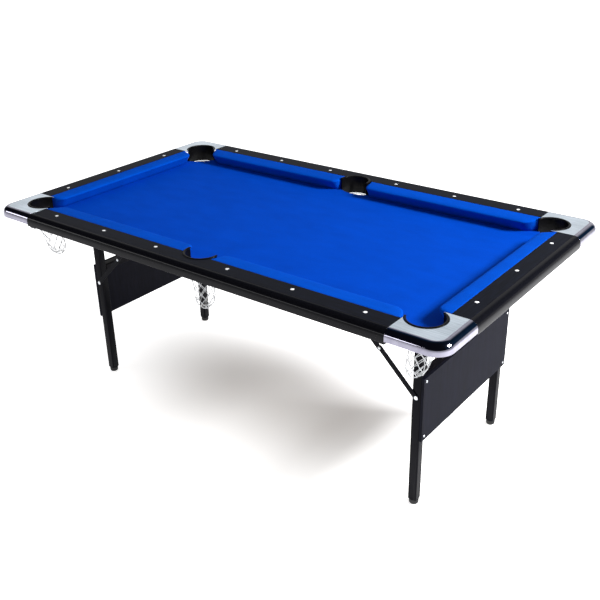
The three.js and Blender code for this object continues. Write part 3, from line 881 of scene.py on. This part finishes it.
def build_leg_frame(side, sx):
    body = f"leg_frame_{side}"
    inner_y = LEG_Y - LEG_HALF - GAP
    radius = (TUBE_HIGH.z - TUBE_LOW.z) / 2
    circle = arc(Vector((0, 0)), radius, 0, 360, 28)[:-1]
    ways = [lambda p, y=y: Vector((LEG_X * sx + p.x, y, HINGE_Z + p.y)) for y in (-inner_y, inner_y)]
    rod = carried(circle, ways)
    piece(f"hinge_rod_{side}", rod, PAINT, body, "leg_paint", [f"hinge_tube_{side}"], bevel=0.0006)
    low, high = CROSSBAR
    middle = (low.z + high.z) / 2
    box = rounded_square(LEG_HALF, (high.z - low.z) / 2, 0.0035)
    ways = [lambda p, y=y: Vector((LEG_X * sx + p.x, y, middle + p.y)) for y in (-inner_y, inner_y)]
    bar = carried(box, ways)
    piece(f"crossbar_tube_{side}", bar, PAINT, body, "leg_paint", [f"crossbar_{side}"], bevel=0.0003)
    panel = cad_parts[f"leg_panel_{side}"]
    panel.data.materials.clear()
    panel.data.materials.append(PANEL_SKIN)
    add_bevel(panel, 0.0012, 3)
    outer_x = PANEL[1].x
    screw_y, top_z, bottom_z = PANEL[1].y - 0.015, PANEL[1].z - 0.013, PANEL[0].z + 0.015
    spots = [(y, z) for z in (top_z, bottom_z) for y in (-screw_y, screw_y)]
    for number, (y, z) in enumerate(spots):
        place = Vector((outer_x * sx, y, z))
        build_screw(f"panel_screw_{side}_{number + 1}", place, (sx, 0, 0), PANEL_SCREW, body)
    for name, sy in SIDES:
        build_leg(f"{name}_{side}", sx, sy, side)
        build_foot(f"{name}_{side}", sx, sy, side)


# ---- fasteners ----
def dome(radius, height, steps=6):
    turns = [math.pi / 2 * i / steps for i in range(steps + 1)]
    return [(radius * math.cos(t), height * math.sin(t)) for t in turns]


def build_screw(name, place, normal, radius, body):
    """A pan-head screw with a cross recess, its head on a surface."""
    height = radius * 0.5
    depth = height * 0.5
    steps, arms = 32, 4
    rim = height * 0.25
    profile = [(radius, -0.0002), (radius, rim)]
    profile += [(r, rim + z * 0.75) for r, z in dome(radius, height)[1:-1]]
    verts = []
    rows = profile + [(radius * 0.45, height * 0.93), (radius * 0.3, height * 0.95), (0.0, height)]
    for i in range(steps):
        turn = math.tau * i / steps
        cross = max(0.0, math.cos(arms * turn)) ** 3
        for r, z in rows:
            sunk = depth * cross * (r < radius * 0.5) + depth * (r == 0)
            verts.append(Vector((r * math.cos(turn), r * math.sin(turn), z - sunk)))
    faces = grid(steps, len(rows), True, False)
    part = moved((verts, faces), facing(normal, place))
    piece(name, part, ZINC, body, "corner_metal")


def build_flush_head(name, place, normal, radius, body):
    """A countersunk pivot head, flush so that the other bar can fold over it."""
    profile = [(radius, -0.0004), (radius, 0.0001), (radius - 0.0004, 0.00018)]
    profile += [(radius * 0.5, 0.00024), (0, 0.00025)]
    piece(name, lathe(profile, 36, facing(normal, place)), ZINC, body, "corner_metal")


def build_bolt(name, place, normal, radius, body, material=ZINC):
    """A domed pivot bolt head on its washer."""
    height = radius * 0.55
    washer = radius * 1.25
    thick = 0.0009
    profile = [(washer, 0), (washer, thick - 0.0003), (washer - 0.0003, thick), (radius, thick)]
    profile += [(r, thick + z) for r, z in dome(radius, height, 8)]
    part = lathe(profile, 36, facing(normal, place))
    piece(name, part, material, body, "corner_metal")


# ---- braces ----
def build_link(which, name, first, last, box, sx, sy):
    run = last - first
    turn = math.degrees(math.atan2(run.y, run.x))
    radius = LINK_WIDTH / 2
    outline = arc(first, radius, turn + 90, turn + 270, 16) + arc(last, radius, turn - 90, turn + 90, 16)
    ways = [lambda p, y=y: Vector((p.x * sx, y * sy, p.y)) for y in (box[0].y, box[1].y)]
    part, node = carried(outline, ways), f"brace_{which}_{name}"
    piece(f"brace_bar_{which}_{name}", part, PAINT, node, "leg_paint", [node], bevel=0.0006, segments=3)


def bent_ear(half, face_y, z_end, plate_z, way, steps=8, bends=4):
    """A plate's hanging ear, from its rounded end up through the bend: (half width, y, height)."""
    rows = []
    for i in range(steps + 1):
        turn = math.pi / 2 * i / steps
        width = half - EAR_RADIUS + EAR_RADIUS * math.sin(turn)
        rows.append((width, face_y, z_end + EAR_RADIUS * (1 - math.cos(turn))))
    bend_z = plate_z - PLATE_BEND
    rows.append((half, face_y, bend_z))
    for i in range(1, bends + 1):
        turn = math.pi / 2 * i / bends
        y = face_y + way * PLATE_BEND * (1 - math.cos(turn))
        rows.append((half, y, bend_z + PLATE_BEND * math.sin(turn)))
    return rows


def bent_plate(name, sheet, node):
    piece(name, strip(sheet), PAINT, "table_top", "leg_paint", [node], thickness=PLATE, bevel=0.0005)


def build_bracket(name, sx, sy):
    """A bent plate: a flange screwed under the board and an ear with a rounded end for the brace's pivot."""
    low, high = BRACKET
    half = (high.x - low.x) / 2
    plate_z = high.z - PLATE
    rows = bent_ear(half, low.y + EAR_WALL, low.z, plate_z, 1)
    cut = 0.008
    rows += [(half, high.y - cut, plate_z), (half - 0.002, high.y - 0.003, plate_z)]
    rows += [(half - cut, high.y, plate_z)]
    sheet = [[Vector(((PIVOT_TABLE.x + h * s) * sx, y * sy, z)) for s in PLATE_SHARES] for h, y, z in rows]
    bent_plate(f"brace_plate_{name}", sheet, f"brace_bracket_{name}")


def build_brace(name, sx, sy, side):
    build_link("lower", name, PIVOT_LEG, KNUCKLE, LOWER_LINK, sx, sy)
    build_link("upper", name, KNUCKLE, PIVOT_TABLE, UPPER_LINK, sx, sy)
    out = (0, sy, 0)
    at_leg = Vector((PIVOT_LEG.x * sx, LOWER_LINK[1].y * sy, PIVOT_LEG.y))
    build_flush_head(f"pivot_bolt_leg_{name}", at_leg, out, LEG_PIVOT, f"leg_frame_{side}")
    at_knuckle = Vector((KNUCKLE.x * sx, UPPER_LINK[1].y * sy, KNUCKLE.y))
    build_bolt(f"pivot_rivet_{name}", at_knuckle, out, KNUCKLE_RIVET, f"brace_upper_{name}")
    at_table = Vector((PIVOT_TABLE.x * sx, (BRACKET[0].y + EAR_WALL) * sy, PIVOT_TABLE.y))
    build_bolt(f"pivot_bolt_table_{name}", at_table, out, TABLE_PIVOT, "table_top", material=PAINT)
    build_bracket(name, sx, sy)
    for number, dx in enumerate((-SCREW_OFFSET, SCREW_OFFSET)):
        screw_y, screw_z = BRACKET[1].y - 0.016, BRACKET[1].z - PLATE
        place = Vector(((PIVOT_TABLE.x + dx) * sx, screw_y * sy, screw_z))
        build_screw(f"bracket_screw_{name}_{number + 1}", place, (0, 0, -1), BRACKET_SCREW, "table_top")


def build_hinge_mount(side, sx):
    """One bent plate across the table, screwed under the board, with an ear at each leg's pivot."""
    low, high = MOUNT
    half = (high.x - low.x) / 2
    plate_z = high.z - PLATE
    end = bent_ear(half, high.y, low.z, plate_z, -1) + [(half, y, plate_z) for y in (0.20, 0.10)]
    rows = end + [(half, 0.0, plate_z)] + [(h, -y, z) for h, y, z in end[::-1]]
    sheet = [[Vector(((LEG_X + h * s) * sx, y, z)) for s in PLATE_SHARES] for h, y, z in rows]
    bent_plate(f"hinge_plate_{side}", sheet, f"hinge_mount_{side}")
    for word, sy in SIDES:
        place = Vector((LEG_X * sx, high.y * sy, HINGE_Z))
        build_bolt(f"hinge_bolt_{word}_{side}", place, (0, sy, 0), HINGE_BOLT, "table_top")
    for number, y in enumerate((-0.24, -0.08, 0.08, 0.24)):
        place = Vector(((LEG_X - SCREW_OFFSET) * sx, y, plate_z))
        build_screw(f"mount_screw_{side}_{number + 1}", place, (0, 0, -1), MOUNT_SCREW, "table_top")


# ---- small parts of the top ----
def build_sights():
    profile = [(SIGHT_RADIUS, -0.0006), (SIGHT_RADIUS, 0.0001), (SIGHT_RADIUS - 0.0004, 0.0004)]
    profile += [(SIGHT_RADIUS * 0.6, 0.0006), (0, 0.0007)]
    half = [SIGHT_FIRST + SIGHT_STEP * i for i in range(3)]
    along = [-x for x in reversed(half)] + half
    across = [SIGHT_STEP_END * i for i in (-1, 0, 1)]
    spots = [(x, sy * SIGHT_Y, f"{word}_{i + 1}") for word, sy in SIDES for i, x in enumerate(along)]
    spots += [(sx * SIGHT_X, y, f"{word}_{i + 1}") for word, sx in ENDS for i, y in enumerate(across)]
    for x, y, word in spots:
        part = lathe(profile, 32, Matrix.Translation(Vector((x, y, RAIL_TOP))))
        piece(f"sight_{word}", part, PEARL, "table_top", "pocket_plastic")


def build_clips():
    """Small black clips under the aprons, beside each corner casting."""
    for name, sx, sy in CORNERS:
        outline = rounded_square(0.014, 0.0125, 0.002, 3)
        centre = Vector((CLIP_PLACE.x * sx, CLIP_PLACE.y * sy))
        part = prism([p + centre for p in outline], APRON_BOTTOM - 0.006, APRON_BOTTOM)
        piece(f"joint_clip_{name}", part, PAINT, "table_top", "leg_paint", bevel=0.001, segments=3)


# ---- floor, light and camera ----
def build_studio():
    size = 12.0
    mesh = bpy.data.meshes.new("floor")
    corners = [(-size, -size, 0), (size, -size, 0), (size, size, 0), (-size, size, 0)]
    mesh.from_pydata(corners, [], [(0, 1, 2, 3)])
    floor = bpy.data.objects.new("floor", mesh)
    bpy.context.scene.collection.objects.link(floor)
    mesh.materials.append(studio_floor())


def build_light(name, place, target, size, power, mirrored=True):
    light = bpy.data.lights.new(name, "AREA")
    light.shape = "RECTANGLE"
    light.size, light.size_y = size
    light.energy = power
    obj = bpy.data.objects.new(name, light)
    bpy.context.scene.collection.objects.link(obj)
    obj.location = place
    obj.rotation_euler = (Vector(target) - Vector(place)).to_track_quat("-Z", "Y").to_euler()
    obj.visible_glossy = mirrored


def build_world():
    """A studio seen in reflections: white low down all round and high up behind the table, dark overhead."""
    world = bpy.data.worlds.new("studio")
    bpy.context.scene.world = world
    world.use_nodes = True
    tree = world.node_tree
    background = tree.nodes["Background"]
    place = tree.nodes.new("ShaderNodeTexCoord").outputs["Generated"]
    split = tree.nodes.new("ShaderNodeSeparateXYZ")
    tree.links.new(place, split.inputs["Vector"])

    def sky(stops):
        ramp = tree.nodes.new("ShaderNodeValToRGB")
        elements = ramp.color_ramp.elements
        while len(elements) < len(stops):
            elements.new(0.5)
        for element, (position, color) in zip(elements, stops):
            element.position = position
            element.color = (*color, 1)
        tree.links.new(split.outputs["Z"], ramp.inputs["Fac"])
        return ramp.outputs["Color"]

    white, navy, dark = (1.0, 1.0, 1.0), (0.01, 0.05, 0.11), (0.008, 0.009, 0.014)
    front = sky([(0.0, white), (0.1, white), (0.15, dark), (1.0, dark)])
    right = sky([(0.0, white), (0.1, white), (0.18, navy), (1.0, dark)])
    behind = sky([(0.0, white), (0.6, white), (0.74, navy), (1.0, dark)])

    def blend(first, second, way, low, high):
        """From one sky to the other as the direction turns to face a way in plan."""
        toward = tree.nodes.new("ShaderNodeVectorMath")
        toward.operation = "DOT_PRODUCT"
        tree.links.new(place, toward.inputs[0])
        toward.inputs[1].default_value = (*way, 0.0)
        share = tree.nodes.new("ShaderNodeMapRange")
        share.interpolation_type = "SMOOTHSTEP"
        share.inputs["From Min"].default_value = low
        share.inputs["From Max"].default_value = high
        tree.links.new(toward.outputs["Value"], share.inputs["Value"])
        mix = tree.nodes.new("ShaderNodeMix")
        mix.data_type = "RGBA"
        tree.links.new(share.outputs["Result"], mix.inputs["Factor"])
        tree.links.new(first, mix.inputs["A"])
        tree.links.new(second, mix.inputs["B"])
        return mix.outputs["Result"]

    back = blend(right, behind, (-0.8, 0.6), 0.35, 0.6)
    around = blend(front, back, (0.2, 0.98), 0.0, 0.35)
    tree.links.new(around, background.inputs["Color"])
    background.inputs["Strength"].default_value = 1.0


def build_camera():
    place = Vector((1.7534, -2.1878, 1.7806))
    target = Vector((-0.0172, 0.0751, 0.3720))
    roll = math.radians(-1.3)
    camera = bpy.data.cameras.new("camera")
    camera.lens = 51.34
    camera.sensor_width = 36.0
    camera.shift_x = 0.0043
    obj = bpy.data.objects.new("camera", camera)
    bpy.context.scene.collection.objects.link(obj)
    turn = (target - place).to_track_quat("-Z", "Y").to_matrix().to_4x4()
    obj.matrix_world = Matrix.Translation(place) @ turn @ Matrix.Rotation(roll, 4, "Z")
    bpy.context.scene.camera = obj


build_camera()
build_studio()
build_world()
build_light("ceiling", (0, 0, 6.0), (0, 0, 0), (14, 14), 180, mirrored=False)
build_light("key", (3.9, 1.3, 3.15), (0, 0, 0.6), (1.3, 1.3), 430)
build_light("shoulder_strip", (-2.0, -2.75, 1.62), (0, 0, 0.74), (3.4, 0.45), 24)
bpy.context.scene.view_settings.view_transform = "Standard"

build_bed()
build_cushions()
build_rails()
build_aprons()
build_castings()
for pocket in POCKETS:
    build_liner(*pocket)
    build_net(*pocket)
for side, sx in ENDS:
    build_leg_frame(side, sx)
    build_hinge_mount(side, sx)
for name, sx, sy in CORNERS:
    build_brace(name, sx, sy, "left" if sx < 0 else "right")
build_sights()
build_clips()
